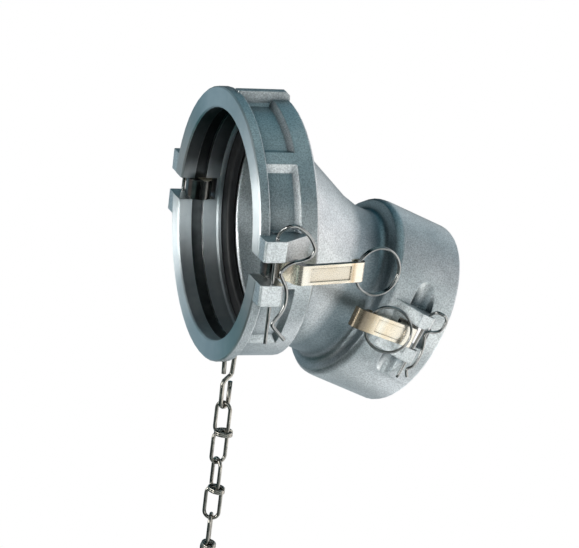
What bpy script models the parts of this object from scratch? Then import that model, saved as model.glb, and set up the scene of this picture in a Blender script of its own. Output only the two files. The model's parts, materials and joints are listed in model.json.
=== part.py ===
import math

import bmesh
import bpy
from mathutils import Matrix, Vector

for old in list(bpy.data.objects):
    bpy.data.objects.remove(old, do_unlink=True)

# Frame: the large coupler's axis is X, its mouth is the plane X = 0, up is +Z.
# The small coupler's axis lies in the XZ plane and dips below X by the bend angle.

# Large coupler: bore radius, then walls and depths from it
LARGE_BORE_R = 0.0889
LARGE_WALL = 0.0066
POCKET_DEPTH = 0.0048
LARGE_RIM_RISE = 0.0047
LARGE_RIM_LENGTH = 0.0084
RIM_EDGE = 0.0011
POCKET_END_X = 0.0306
POCKET_DRAFT = 0.0034
RIB_DRAFT_DEG = 3.0
LARGE_LAND_LENGTH = 0.0112
RELIEF_DEPTH = 0.0021
LARGE_RELIEF_LENGTH = 0.0094
LARGE_LIP_LENGTH = 0.0038
LIP_RISE = 0.0005
LARGE_SEAT_X = 0.0440
LARGE_SEAT_DEPTH = 0.0025
LARGE_SEAT_WIDTH = 0.0164
LARGE_BACK_WALL = 0.0045
LARGE_GASKET_LENGTH = 0.0070
LARGE_GASKET_INSET = 0.0018
GROOVE_SLACK = 0.0010
GASKET_GAP = 0.0003

# Bend, cone and neck
BEND_DEG = 22.5
SMALL_AXIS_START_X = -0.0067
CONE_WALL = 0.0020
CONE_ROOT_RISE = 0.0055
CONE_ROOT_PART = 0.08
NECK_START = 0.1000
NECK_R = 0.0612
NECK_WALL = 0.0065
NECK_LENGTH = 0.0264

# Small coupler, measured along its own axis from the end of the neck
SMALL_BORE_R = 0.0604
SMALL_WALL = 0.0139
SMALL_SEAT_BEHIND = 0.0056
SMALL_DEPTH = 0.0558
SMALL_LAND_LENGTH = 0.0110
SMALL_RELIEF_LENGTH = 0.0098
SMALL_RELIEF_DEPTH = 0.0018
SMALL_LIP_LENGTH = 0.0036
SMALL_SEAT_DEPTH = 0.0024
SMALL_SEAT_WIDTH = 0.0120
SMALL_GASKET_LENGTH = 0.0070
SMALL_GASKET_INSET = 0.0014

# Cam stations
LARGE_PIN_X = 0.0145
LARGE_PIN_STANDOFF = 0.0091
SMALL_PIN_FROM_END = 0.0278
SMALL_PIN_STANDOFF = 0.0096
SLOT_HALF_WIDTH = 0.0088
SLOT_REACH = 0.0157
SLOT_DEPTH = 0.0090
EAR_HALF_SPAN = 0.0250
EAR_STAND = 0.0180
EAR_SINK = 0.0042
LARGE_EAR_LENGTH = 0.0172
LARGE_RAMP_LENGTH = 0.0245
SMALL_EAR_HALF_SPAN = 0.0197
SMALL_EAR_LENGTH = 0.0112
SMALL_EAR_FORWARD = 0.0014
SMALL_RAMP_LENGTH = 0.0200
EAR_CHAMFER = 0.0013
PIN_R = 0.0032
PIN_CLEARANCE = 0.0003
ARM_PIN_CLEARANCE = 0.0007
PIN_END_GAP = 0.0006
SCALLOP_R = 0.0100
SCALLOP_RISE = 0.0030

# Top rib
TOP_RIB_RISE = 0.0061
TOP_RIB_HALF_ROOT = 0.0054
TOP_RIB_HALF_TOP = 0.0034

# Cam arms, seen along the pin: "along" runs back along the body, "out" away from the axis
ARM_SIDE_GAP = 0.0011
HUB_R = 0.0100
HUB_ALONG = 0.0028
HUB_IN = 0.0050
HUB_BOSS_R = 0.0066
HANDLE_THICK = 0.0038
LARGE_HANDLE_START = 0.0160
LARGE_HANDLE_OUT = 0.0218
LARGE_HANDLE_LEAN_DEG = 10.5
LARGE_EYE_ALONG = 0.0643
LARGE_PANEL_START = 0.0230
LARGE_PANEL_END = 0.0560
SMALL_HANDLE_START = 0.0080
SMALL_HANDLE_OUT = 0.0219
SMALL_HANDLE_LEAN_DEG = 5.0
SMALL_EYE_ALONG = 0.0422
SMALL_DROOP_DEG = 4.0
SMALL_PANEL_START = 0.0130
SMALL_PANEL_END = 0.0360
EYE_R = 0.0050
LARGE_EYE_HOLE_R = 0.0037
SMALL_EYE_HOLE_R = 0.0033
PANEL_HALF_WIDTH = 0.0052
PANEL_DEPTH = 0.0009

# Split pull rings
LARGE_RING_R = 0.0182
LARGE_RING_DEG = 3.0
LARGE_RING_DROOP_DEG = 5.0
SMALL_RING_R = 0.0174
SMALL_RING_DEG = 162.0
SMALL_RING_DROOP_DEG = 0.0
RING_WIRE_R = 0.00095
RING_COIL_PITCH = 0.0021
RING_PLAY = 0.0008

# Safety clips
CLIP_WIRE_R = 0.0014
CLIP_OUT = 0.0140
CLIP_FORWARD = 0.0040
SMALL_CLIP_FORWARD = 0.0036
CLIP_LEAN = 0.0058

# Chain eye, hook and links
CHAIN_X = 0.0257
CHAIN_EYE_THICK = 0.0034
CHAIN_EYE_RIM = 0.0020
CHAIN_EYE_DROP = 0.0049
CHAIN_EYE_ROOT = 0.0070
CHAIN_HOLE_R = 0.0028
CHAIN_HOLE_REACH = 0.0040
HOOK_WIRE_R = 0.0018
HOOK_HALF = 0.0040
HOOK_LENGTH = 0.0455
HOOK_TURN_DEG = 27.0
LINK_WIRE_R = 0.0015
WRAP_HALF_WIDTH = 0.0060
WRAP_HALF_DEPTH = 0.0042
WRAP_SHIFT = 0.0020
LINK_HALF_WIDTH = 0.0059
LINK_LENGTH = 0.0511
LINK_TWIST_DEG = 54.0
LINK_COUNT = 3
FIRST_LINK_DEG = -47.0
NEXT_LINK_DEG = -34.0
TOUCH_GAP = 0.0003

# Facets
BODY_SEGMENTS = 52
GASKET_SEGMENTS = 48
WIRE_SIDES = 8
THIN_WIRE_SIDES = 5
LINK_SIDES = 6

SMALL_DIR = Vector((math.cos(math.radians(BEND_DEG)), 0, -math.sin(math.radians(BEND_DEG))))
SMALL_UP = Vector((math.sin(math.radians(BEND_DEG)), 0, math.cos(math.radians(BEND_DEG))))
SMALL_ORIGIN = Vector((SMALL_AXIS_START_X, 0, 0))

POCKET_FLOOR_R = LARGE_BORE_R + LARGE_WALL
LARGE_BAND_R = POCKET_FLOOR_R + POCKET_DEPTH
LARGE_RIM_R = LARGE_BAND_R + LARGE_RIM_RISE
LARGE_LENGTH = LARGE_SEAT_X + LARGE_BACK_WALL
LARGE_SEAT_R = LARGE_BORE_R + LARGE_SEAT_DEPTH
LARGE_LIP_R = LARGE_BORE_R - LIP_RISE
LARGE_THROAT_R = LARGE_SEAT_R - LARGE_SEAT_WIDTH
CONE_R = LARGE_THROAT_R + CONE_WALL
NECK_BORE_R = NECK_R - NECK_WALL
SHOULDER_AT = NECK_START + NECK_LENGTH
SMALL_SEAT_AT = SHOULDER_AT + SMALL_SEAT_BEHIND
SMALL_END = SMALL_SEAT_AT + SMALL_DEPTH
SMALL_OUTER_R = SMALL_BORE_R + SMALL_WALL
SMALL_SEAT_R = SMALL_BORE_R + SMALL_SEAT_DEPTH
SMALL_LIP_R = SMALL_BORE_R - LIP_RISE
SMALL_RELIEF_R = SMALL_BORE_R + SMALL_RELIEF_DEPTH
SMALL_THROAT_R = SMALL_SEAT_R - SMALL_SEAT_WIDTH
LARGE_PIN_Y = LARGE_BORE_R + LARGE_PIN_STANDOFF
SMALL_PIN_Y = SMALL_BORE_R + SMALL_PIN_STANDOFF
SMALL_PIN_AT = SMALL_END - SMALL_PIN_FROM_END
ARM_HALF_WIDTH = SLOT_HALF_WIDTH - ARM_SIDE_GAP
CHAIN_EYE_Z = LARGE_BAND_R + CHAIN_EYE_DROP


def material(name, color, roughness, metallic):
    found = bpy.data.materials.new(name)
    found.use_nodes = True
    shader = found.node_tree.nodes["Principled BSDF"]
    shader.inputs["Base Color"].default_value = (*color, 1)
    shader.inputs["Roughness"].default_value = roughness
    shader.inputs["Metallic"].default_value = metallic
    found.diffuse_color = (*color, 1)
    return found


CAST = material("cast aluminium", (0.47, 0.50, 0.52), 0.55, 1.0)
BRASS = material("pale brass", (0.80, 0.72, 0.58), 0.32, 1.0)
STEEL = material("bright steel", (0.62, 0.62, 0.61), 0.25, 1.0)
CHAIN = material("chain steel", (0.42, 0.41, 0.39), 0.30, 1.0)
RUBBER = material("black rubber", (0.03, 0.03, 0.032), 0.65, 0.0)


def make_object(name, bm, finish, origin=(0, 0, 0)):
    """Object from a bmesh in world coordinates, with its own origin at a given point."""
    bmesh.ops.remove_doubles(bm, verts=bm.verts, dist=1e-6)
    bmesh.ops.recalc_face_normals(bm, faces=bm.faces)
    bmesh.ops.translate(bm, verts=bm.verts, vec=-Vector(origin))
    mesh = bpy.data.meshes.new(name)
    bm.to_mesh(mesh)
    bm.free()
    if finish:
        mesh.materials.append(finish)
    made = bpy.data.objects.new(name, mesh)
    made.location = origin
    bpy.context.scene.collection.objects.link(made)
    return made


def cut_or_join(target, tool, operation):
    tool.hide_render = True
    tool.display_type = "WIRE"
    step = target.modifiers.new(tool.name, "BOOLEAN")
    step.operation = operation
    step.solver = "EXACT"
    step.object = tool
    return step


def bridge(bm, first, second):
    count = len(first)
    for i in range(count):
        j = (i + 1) % count
        bm.faces.new((first[i], first[j], second[j], second[i]))


def add_prism(bm, outline, low, high, place):
    """Closed prism from a 2-D outline, stretched from low to high, placed by a matrix."""
    bottom = [bm.verts.new(place @ Vector((x, y, low))) for x, y in outline]
    top = [bm.verts.new(place @ Vector((x, y, high))) for x, y in outline]
    bridge(bm, bottom, top)
    bm.faces.new(bottom)
    bm.faces.new(top)
    return bottom + top


def add_tube(bm, path, radius, sides=WIRE_SIDES, closed=False, start_normal=None):
    """Round wire swept along a line of points."""
    count = len(path)
    rings = []
    normal = start_normal
    for i, point in enumerate(path):
        if closed:
            ahead = path[(i + 1) % count] - path[i - 1]
        else:
            ahead = path[min(i + 1, count - 1)] - path[max(i - 1, 0)]
        ahead = ahead.normalized()
        if normal is None:
            normal = ahead.orthogonal()
        normal = (normal - ahead * normal.dot(ahead)).normalized()
        side = ahead.cross(normal)
        turns = [2 * math.pi * k / sides for k in range(sides)]
        rings.append(
            [bm.verts.new(point + radius * (math.cos(t) * normal + math.sin(t) * side)) for t in turns]
        )
    for i in range(count - 1):
        bridge(bm, rings[i], rings[i + 1])
    if closed:
        bridge(bm, rings[-1], rings[0])
    else:
        bm.faces.new(rings[0])
        bm.faces.new(rings[-1])


def add_cylinder(bm, start, end, radius, sides):
    add_tube(bm, [Vector(start), Vector(end)], radius, sides)


def arc(center, radius, start_deg, end_deg, steps):
    points = []
    for k in range(steps + 1):
        t = math.radians(start_deg + (end_deg - start_deg) * k / steps)
        points.append((center[0] + radius * math.cos(t), center[1] + radius * math.sin(t)))
    return points


# Frames of the two couplers: local x along the axis, local y outward on the chosen side
def large_side(sign):
    return Matrix(((1, 0, 0, 0), (0, sign, 0, 0), (0, 0, 1, 0), (0, 0, 0, 1)))


def small_side(sign):
    along, out, up = SMALL_DIR, Vector((0, sign, 0)), SMALL_UP
    turned = Matrix((along, out, up)).transposed().to_4x4()
    return Matrix.Translation(SMALL_ORIGIN) @ turned


# Casting skin: one closed shell, outside from mouth to mouth, then back through the passage
def ring_on(bm, center, up, radius):
    found = []
    for k in range(BODY_SEGMENTS):
        t = 2 * math.pi * k / BODY_SEGMENTS
        found.append(bm.verts.new(center + radius * (math.cos(t) * up - math.sin(t) * Vector((0, 1, 0)))))
    return found


def large_ring(bm, x, radius):
    return ring_on(bm, Vector((x, 0, 0)), Vector((0, 0, 1)), radius)


def small_ring(bm, at, radius):
    return ring_on(bm, SMALL_ORIGIN + SMALL_DIR * at, SMALL_UP, radius)


def between(bm, first, second, part):
    return [bm.verts.new(a.co.lerp(b.co, part)) for a, b in zip(first, second)]


def casting_shell():
    bm = bmesh.new()
    rim, band = LARGE_RIM_R, LARGE_BAND_R
    bevel = 0.0016
    rings = [
        large_ring(bm, 0, rim - RIM_EDGE),
        large_ring(bm, RIM_EDGE, rim),
        large_ring(bm, LARGE_RIM_LENGTH - RIM_EDGE / 2, rim),
        large_ring(bm, LARGE_RIM_LENGTH, rim - RIM_EDGE / 2),
        large_ring(bm, LARGE_RIM_LENGTH, band),
        large_ring(bm, LARGE_LENGTH - bevel, band),
        large_ring(bm, LARGE_LENGTH, band - bevel),
        large_ring(bm, LARGE_LENGTH, CONE_R + CONE_ROOT_RISE),
    ]
    cone_start = large_ring(bm, LARGE_LENGTH, CONE_R)
    cone_end = small_ring(bm, NECK_START, NECK_R)
    shoulder, outer = SHOULDER_AT, SMALL_OUTER_R
    relief_start = SMALL_END - SMALL_LAND_LENGTH
    relief_end = relief_start - SMALL_RELIEF_LENGTH
    groove_end = SMALL_SEAT_AT + SMALL_GASKET_LENGTH + GROOVE_SLACK
    lip_end = groove_end + SMALL_LIP_LENGTH
    step = 0.0002
    rings += [
        between(bm, cone_start, cone_end, CONE_ROOT_PART),
        between(bm, cone_start, cone_end, 0.5),
        between(bm, cone_start, cone_end, 0.9),
        small_ring(bm, NECK_START + 0.007, NECK_R - 0.0003),
        small_ring(bm, shoulder - 0.0066, NECK_R - 0.0005),
        small_ring(bm, shoulder - 0.0030, NECK_R + 0.0008),
        small_ring(bm, shoulder - 0.0006, NECK_R + 0.0035),
        small_ring(bm, shoulder, NECK_R + 0.0066),
        small_ring(bm, shoulder + 0.0012, outer - 0.0030),
        small_ring(bm, shoulder + 0.0042, outer - 0.0006),
        small_ring(bm, shoulder + 0.0080, outer),
        small_ring(bm, SMALL_END - 0.0020, outer),
        small_ring(bm, SMALL_END - 0.0005, outer - 0.0007),
        small_ring(bm, SMALL_END, outer - 0.0024),
        small_ring(bm, SMALL_END, SMALL_BORE_R + RIM_EDGE),
        small_ring(bm, SMALL_END - RIM_EDGE, SMALL_BORE_R),
        small_ring(bm, relief_start, SMALL_BORE_R),
        small_ring(bm, relief_start - step, SMALL_RELIEF_R),
        small_ring(bm, relief_end, SMALL_RELIEF_R),
        small_ring(bm, relief_end - step, SMALL_BORE_R),
        small_ring(bm, lip_end + 0.0012, SMALL_BORE_R),
        small_ring(bm, lip_end, SMALL_LIP_R),
        small_ring(bm, groove_end, SMALL_LIP_R),
        small_ring(bm, groove_end - step, SMALL_SEAT_R),
        small_ring(bm, SMALL_SEAT_AT, SMALL_SEAT_R),
        small_ring(bm, SMALL_SEAT_AT, SMALL_THROAT_R + 0.0008),
        small_ring(bm, SMALL_SEAT_AT - 0.0010, SMALL_THROAT_R),
        small_ring(bm, NECK_START + 0.0160, NECK_BORE_R - 0.0012),
        small_ring(bm, NECK_START + 0.0040, NECK_BORE_R),
    ]
    throat = large_ring(bm, LARGE_SEAT_X + 0.0016, LARGE_THROAT_R - 0.0010)
    groove_start = LARGE_SEAT_X - LARGE_GASKET_LENGTH - GROOVE_SLACK
    lip_start = groove_start - LARGE_LIP_LENGTH
    relief_start = LARGE_LAND_LENGTH
    relief_end = relief_start + LARGE_RELIEF_LENGTH
    rings += [
        between(bm, throat, rings[-1], 0.5),
        throat,
        large_ring(bm, LARGE_SEAT_X + 0.0004, LARGE_THROAT_R),
        large_ring(bm, LARGE_SEAT_X, LARGE_THROAT_R + 0.0006),
        large_ring(bm, LARGE_SEAT_X, LARGE_SEAT_R),
        large_ring(bm, groove_start + step, LARGE_SEAT_R),
        large_ring(bm, groove_start, LARGE_LIP_R),
        large_ring(bm, lip_start + 0.0013, LARGE_LIP_R),
        large_ring(bm, lip_start, LARGE_BORE_R + 0.0006),
        large_ring(bm, relief_end + step, LARGE_BORE_R + 0.0002),
        large_ring(bm, relief_end, LARGE_BORE_R + RELIEF_DEPTH),
        large_ring(bm, relief_start + step, LARGE_BORE_R + RELIEF_DEPTH),
        large_ring(bm, relief_start, LARGE_BORE_R),
        large_ring(bm, RIM_EDGE, LARGE_BORE_R),
        large_ring(bm, 0, LARGE_BORE_R + RIM_EDGE),
    ]
    for first, second in zip(rings, rings[1:] + rings[:1]):
        bridge(bm, first, second)
    loose = [v for v in bm.verts if not v.link_faces]
    bmesh.ops.delete(bm, geom=loose, context="VERTS")
    return make_object("body_casting", bm, CAST)


# Recesses round the large coupler, between cast ribs; angles run from the top round each side
POCKETS_DEG = [(4.2, 37.0), (48.6, 77.0), (103.0, 131.4)]


def pocket_cutters():
    bm = bmesh.new()
    high = LARGE_BAND_R + 0.001
    rise = (high - POCKET_FLOOR_R) / (LARGE_BAND_R - POCKET_FLOOR_R)
    floor_end = POCKET_END_X
    high_end = POCKET_END_X + POCKET_DRAFT * rise
    for sign in (-1, 1):
        for start, end in POCKETS_DEG:
            steps = max(3, round((end - start) / 5))
            rows = []
            for k in range(steps + 1):
                low_t = math.radians(start + (end - start) * k / steps)
                wide = RIB_DRAFT_DEG * rise * (2 * k / steps - 1)
                high_t = low_t + math.radians(wide)
                row = []
                for x, r, t in (
                    (LARGE_RIM_LENGTH, POCKET_FLOOR_R, low_t),
                    (floor_end, POCKET_FLOOR_R, low_t),
                    (high_end, high, high_t),
                    (LARGE_RIM_LENGTH, high, high_t),
                ):
                    row.append(bm.verts.new((x, sign * r * math.sin(t), r * math.cos(t))))
                rows.append(row)
            for first, second in zip(rows, rows[1:]):
                bridge(bm, first, second)
            bm.faces.new(rows[0])
            bm.faces.new(rows[-1])
    return make_object("ring_pockets", bm, None)


# Ears, ramps, top rib and chain eye
def large_ears():
    bm = bmesh.new()
    inner = POCKET_FLOOR_R - EAR_SINK
    outer = LARGE_PIN_Y + EAR_STAND
    front, chamfer = 0.0004, EAR_CHAMFER
    ramp_end = LARGE_EAR_LENGTH + LARGE_RAMP_LENGTH
    ramped = [
        (front, inner),
        (front, outer - chamfer),
        (front + chamfer, outer),
        (LARGE_EAR_LENGTH, outer),
        (ramp_end, LARGE_BAND_R - 0.0020),
        (ramp_end, inner),
    ]
    plain = [
        (front, inner),
        (front, outer - chamfer),
        (front + chamfer, outer),
        (LARGE_EAR_LENGTH, outer),
        (LARGE_EAR_LENGTH + chamfer, outer - chamfer),
        (LARGE_EAR_LENGTH + chamfer, inner),
    ]
    for sign in (-1, 1):
        side = large_side(sign)
        add_prism(bm, ramped, SLOT_HALF_WIDTH / 2, EAR_HALF_SPAN, side)
        add_prism(bm, plain, -EAR_HALF_SPAN, -SLOT_HALF_WIDTH / 2, side)
    return make_object("large_ears", bm, None)


def top_rib():
    bm = bmesh.new()
    low, high = POCKET_FLOOR_R - 0.002, LARGE_BAND_R + TOP_RIB_RISE
    half_low, half_high = TOP_RIB_HALF_ROOT, TOP_RIB_HALF_TOP
    start, end = LARGE_RIM_LENGTH - 0.002, LARGE_LENGTH - 0.0006
    side = [(start, low), (start, high), (end - 0.003, high), (end, high - 0.003), (end, low)]
    near, far = [], []
    for x, z in side:
        half = half_low + (half_high - half_low) * (z - low) / (high - low)
        near.append(bm.verts.new((x, -half, z)))
        far.append(bm.verts.new((x, half, z)))
    bridge(bm, near, far)
    bm.faces.new(near)
    bm.faces.new(far)
    return make_object("top_rib", bm, None)


def chain_eye():
    bm = bmesh.new()
    center = (0, -CHAIN_EYE_Z)
    round_end = arc(center, CHAIN_HOLE_R + CHAIN_EYE_RIM, -180, 0, 8)
    root = -POCKET_FLOOR_R
    outline = round_end + [(CHAIN_EYE_ROOT, root), (-CHAIN_EYE_ROOT, root)]
    place = Matrix(((0, 0, 1, CHAIN_X), (1, 0, 0, 0), (0, 1, 0, 0), (0, 0, 0, 1)))
    add_prism(bm, outline, -CHAIN_EYE_THICK / 2, CHAIN_EYE_THICK / 2, place)
    return make_object("chain_eye", bm, None)


def small_ears():
    bm = bmesh.new()
    inner = SMALL_BORE_R + EAR_SINK / 2
    outer = SMALL_PIN_Y + EAR_STAND
    middle = SMALL_PIN_AT + SMALL_EAR_FORWARD
    front, back = middle + SMALL_EAR_LENGTH / 2, middle - SMALL_EAR_LENGTH / 2
    ramp_end = back - SMALL_RAMP_LENGTH
    chamfer = EAR_CHAMFER
    ramped = [
        (front, inner),
        (front, outer - chamfer),
        (front - chamfer, outer),
        (back, outer),
        (ramp_end, SMALL_OUTER_R - 0.0040),
        (ramp_end, inner),
    ]
    for sign in (-1, 1):
        side = small_side(sign)
        add_prism(bm, ramped, SLOT_HALF_WIDTH / 2, SMALL_EAR_HALF_SPAN, side)
        add_prism(bm, ramped, -SMALL_EAR_HALF_SPAN, -SLOT_HALF_WIDTH / 2, side)
    return make_object("small_ears", bm, None)


# Cuts: cam slots, pin and clip holes, chain hole, pin access scallops
def cam_slots():
    bm = bmesh.new()
    past = 0.004
    large_out = LARGE_PIN_Y + EAR_STAND + past
    large_in = LARGE_BORE_R - SLOT_DEPTH
    end = LARGE_PIN_X + SLOT_REACH
    small_out = SMALL_PIN_Y + EAR_STAND + past
    small_in = SMALL_BORE_R - SLOT_DEPTH
    start, stop = SMALL_PIN_AT - SLOT_REACH, SMALL_PIN_AT + SLOT_REACH
    for sign in (-1, 1):
        large = [(-past, large_in), (end, large_in), (end, large_out), (-past, large_out)]
        add_prism(bm, large, -SLOT_HALF_WIDTH, SLOT_HALF_WIDTH, large_side(sign))
        small = [(start, small_in), (stop, small_in), (stop, small_out), (start, small_out)]
        add_prism(bm, small, -SLOT_HALF_WIDTH, SLOT_HALF_WIDTH, small_side(sign))
    return make_object("cam_slots", bm, None)


def scallop_cutters():
    bm = bmesh.new()
    deep = SMALL_PIN_Y + SCALLOP_RISE
    for sign in (-1, 1):
        side = small_side(sign)
        for way in (-1, 1):
            start = side @ Vector((SMALL_PIN_AT, deep, way * (SMALL_EAR_HALF_SPAN - 0.003)))
            end = side @ Vector((SMALL_PIN_AT, deep, way * (SMALL_EAR_HALF_SPAN + 0.040)))
            add_cylinder(bm, start, end, SCALLOP_R, 20)
    return make_object("pin_scallops", bm, None)


def hole_cutters():
    bm = bmesh.new()
    pin_hole = PIN_R + PIN_CLEARANCE
    clip_hole = CLIP_WIRE_R + 0.0004
    for sign in (-1, 1):
        large, small = large_side(sign), small_side(sign)
        for frame, at, out, forward in (
            (large, LARGE_PIN_X, LARGE_PIN_Y, -CLIP_FORWARD),
            (small, SMALL_PIN_AT, SMALL_PIN_Y, SMALL_CLIP_FORWARD),
        ):
            reach = EAR_HALF_SPAN + 0.004
            add_cylinder(bm, frame @ Vector((at, out, -reach)), frame @ Vector((at, out, reach)), pin_hole, 14)
            at, out = at + forward, out + CLIP_OUT
            add_cylinder(bm, frame @ Vector((at, out, -reach)), frame @ Vector((at, out, reach)), clip_hole, 10)
    low, high = CHAIN_X - CHAIN_HOLE_REACH, CHAIN_X + CHAIN_HOLE_REACH
    add_cylinder(bm, (low, 0, -CHAIN_EYE_Z), (high, 0, -CHAIN_EYE_Z), CHAIN_HOLE_R, 14)
    return make_object("pin_clip_chain_holes", bm, None)


body = casting_shell()
cut_or_join(body, pocket_cutters(), "DIFFERENCE")
cut_or_join(body, scallop_cutters(), "DIFFERENCE")
for added in (large_ears(), small_ears(), top_rib(), chain_eye()):
    cut_or_join(body, added, "UNION")
cut_or_join(body, cam_slots(), "DIFFERENCE")
cut_or_join(body, hole_cutters(), "DIFFERENCE")


# Gaskets: flat rubber rings with a rounded inner lip, each lying in its groove
def gasket(name, place, seat, length, outer, inner):
    bm = bmesh.new()
    lip = 0.0016
    profile = [
        (seat + GASKET_GAP, outer - GASKET_GAP),
        (seat + GASKET_GAP + length, outer - GASKET_GAP),
        (seat + GASKET_GAP + length, inner + 2 * lip),
        (seat + GASKET_GAP + length - 0.4 * lip, inner + 0.8 * lip),
        (seat + GASKET_GAP + length - 1.4 * lip, inner),
        (seat + GASKET_GAP + lip, inner),
        (seat + GASKET_GAP, inner + lip),
    ]
    rings = []
    for x, r in profile:
        ring = []
        for k in range(GASKET_SEGMENTS):
            t = 2 * math.pi * k / GASKET_SEGMENTS
            ring.append(bm.verts.new(place @ Vector((x, r * math.cos(t), r * math.sin(t)))))
        rings.append(ring)
    for first, second in zip(rings, rings[1:] + rings[:1]):
        bridge(bm, first, second)
    return make_object(name, bm, RUBBER)


facing_mouth = Matrix(((-1, 0, 0, LARGE_SEAT_X), (0, 1, 0, 0), (0, 0, 1, 0), (0, 0, 0, 1)))
large_inner = LARGE_THROAT_R + LARGE_GASKET_INSET
small_inner = SMALL_THROAT_R + SMALL_GASKET_INSET
gasket("large_gasket", facing_mouth, 0, LARGE_GASKET_LENGTH, LARGE_SEAT_R, large_inner)
gasket("small_gasket", small_side(1), SMALL_SEAT_AT, SMALL_GASKET_LENGTH, SMALL_SEAT_R, small_inner)


# Cam arms: eccentric hub, swept root, straight handle and ring eye. The large arm ends in the
# roll round its eye; the small arm goes on past it to a curled tip. Tip points are (beyond the
# eye, below the handle's outer face), the others (along, out) from the pin.
LARGE_ARM = {
    "start": LARGE_HANDLE_START,
    "out": LARGE_HANDLE_OUT,
    "lean": LARGE_HANDLE_LEAN_DEG,
    "eye": LARGE_EYE_ALONG,
    "eye_hole": LARGE_EYE_HOLE_R,
    "roll_deg": 72,
    "tip": [],
    "panel": (LARGE_PANEL_START, LARGE_PANEL_END),
    "inside": [(0.0145, 0.0035), (0.0160, 0.0100), (0.0190, 0.0150), (0.0230, 0.0164)],
    "front": [(0.0165, 0.0216), (0.0132, 0.0202), (0.0105, 0.0172), (0.0088, 0.0130)],
    "ring_r": LARGE_RING_R,
    "ring_deg": LARGE_RING_DEG,
    "ring_droop_deg": LARGE_RING_DROOP_DEG,
}
SMALL_ARM = {
    "start": SMALL_HANDLE_START,
    "out": SMALL_HANDLE_OUT,
    "lean": SMALL_HANDLE_LEAN_DEG,
    "eye": SMALL_EYE_ALONG,
    "eye_hole": SMALL_EYE_HOLE_R,
    "roll_deg": -20,
    "tip": [(0.0063, 0.0042), (0.0092, 0.0050), (0.0107, 0.0074), (0.0132, 0.0068),
            (0.0128, 0.0038), (0.0110, 0.0014), (0.0083, 0.0002), (0.0040, 0.0000)],
    "panel": (SMALL_PANEL_START, SMALL_PANEL_END),
    "inside": [(0.0136, 0.0020), (0.0130, 0.0090), (0.0146, 0.0140), (0.0185, 0.0170)],
    "front": [(0.0048, 0.0216), (0.0030, 0.0200), (0.0020, 0.0150)],
    "ring_r": SMALL_RING_R,
    "ring_deg": SMALL_RING_DEG,
    "ring_droop_deg": SMALL_RING_DROOP_DEG,
}


def handle_point(arm, along, below):
    lean = math.radians(arm["lean"])
    run = along - arm["start"]
    return (along - below * math.sin(lean), arm["out"] - run * math.tan(lean) - below * math.cos(lean))


def eye_center(arm):
    return handle_point(arm, arm["eye"], EYE_R - 0.0002)


def arm_outline(arm):
    eye, lean = arm["eye"], arm["lean"]
    steps = round((arm["roll_deg"] + 145) / 22)
    outline = arc((0, 0), HUB_BOSS_R, 55, 165, 7)
    outline += arc((HUB_ALONG, -HUB_IN), HUB_R, 160, 355, 14)
    outline += arm["inside"]
    outline += [handle_point(arm, eye - 0.0055, HANDLE_THICK)]
    outline += arc(eye_center(arm), EYE_R, -145 - lean, arm["roll_deg"] - lean, steps)
    outline += [handle_point(arm, eye + beyond, below) for beyond, below in arm["tip"]]
    return outline + arm["front"]


def arm_frame(side, at, out, back):
    """Matrix of an arm: x back along the body, y outward, z along the pin, origin on the pin."""
    return side @ Matrix.Translation((at, out, 0)) @ Matrix.Diagonal((back, 1, 1, 1))


def cam_arm(name, frame, arm):
    bm = bmesh.new()
    add_prism(bm, arm_outline(arm), -ARM_HALF_WIDTH, ARM_HALF_WIDTH, frame)
    made = make_object(name, bm, BRASS, frame @ Vector((0, 0, 0)))
    holes = bmesh.new()
    reach = ARM_HALF_WIDTH + 0.002
    pin_hole = PIN_R + ARM_PIN_CLEARANCE
    add_cylinder(holes, frame @ Vector((0, 0, -reach)), frame @ Vector((0, 0, reach)), pin_hole, 14)
    ex, ey = eye_center(arm)
    add_cylinder(holes, frame @ Vector((ex, ey, -reach)), frame @ Vector((ex, ey, reach)), arm["eye_hole"], 12)
    start, end = arm["panel"]
    panel = [
        handle_point(arm, start, PANEL_DEPTH),
        handle_point(arm, end, PANEL_DEPTH),
        handle_point(arm, end + 0.0006, -0.0010),
        handle_point(arm, start - 0.0006, -0.0010),
    ]
    add_prism(holes, panel, -PANEL_HALF_WIDTH, PANEL_HALF_WIDTH, frame)
    cut_or_join(made, make_object(name + "_cuts", holes, None), "DIFFERENCE")
    return made


# Split ring: two turns of wire joined by a short step, lying loose in the eye
def split_ring(name, frame, arm):
    bm = bmesh.new()
    ex, ey = eye_center(arm)
    radius = arm["ring_r"]
    swing = math.radians(arm["ring_deg"] - arm["lean"])
    droop = math.radians(arm["ring_droop_deg"])
    straight = Vector((math.cos(swing), math.sin(swing), 0))
    flat = Vector((-math.sin(swing), math.cos(swing), 0))
    pin = Vector((0, 0, 1))
    away = straight * math.cos(droop) - pin * math.sin(droop)
    across = straight * math.sin(droop) + pin * math.cos(droop)
    center = Vector((ex, ey, 0)) + away * (radius - RING_PLAY)
    steps = 46
    path = []
    for k in range(steps + 1):
        turn = 2 * math.pi * 1.94 * k / steps + math.radians(200)
        part = min(1, max(0, (k / steps - 0.44) / 0.12))
        offset = RING_COIL_PITCH * (part - 0.5)
        round_part = radius * (math.cos(turn) * away + math.sin(turn) * across)
        path.append(frame @ (center + round_part + flat * offset))
    add_tube(bm, path, RING_WIRE_R, THIN_WIRE_SIDES)
    return make_object(name, bm, STEEL, frame @ Vector((ex, ey, 0)))


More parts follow.
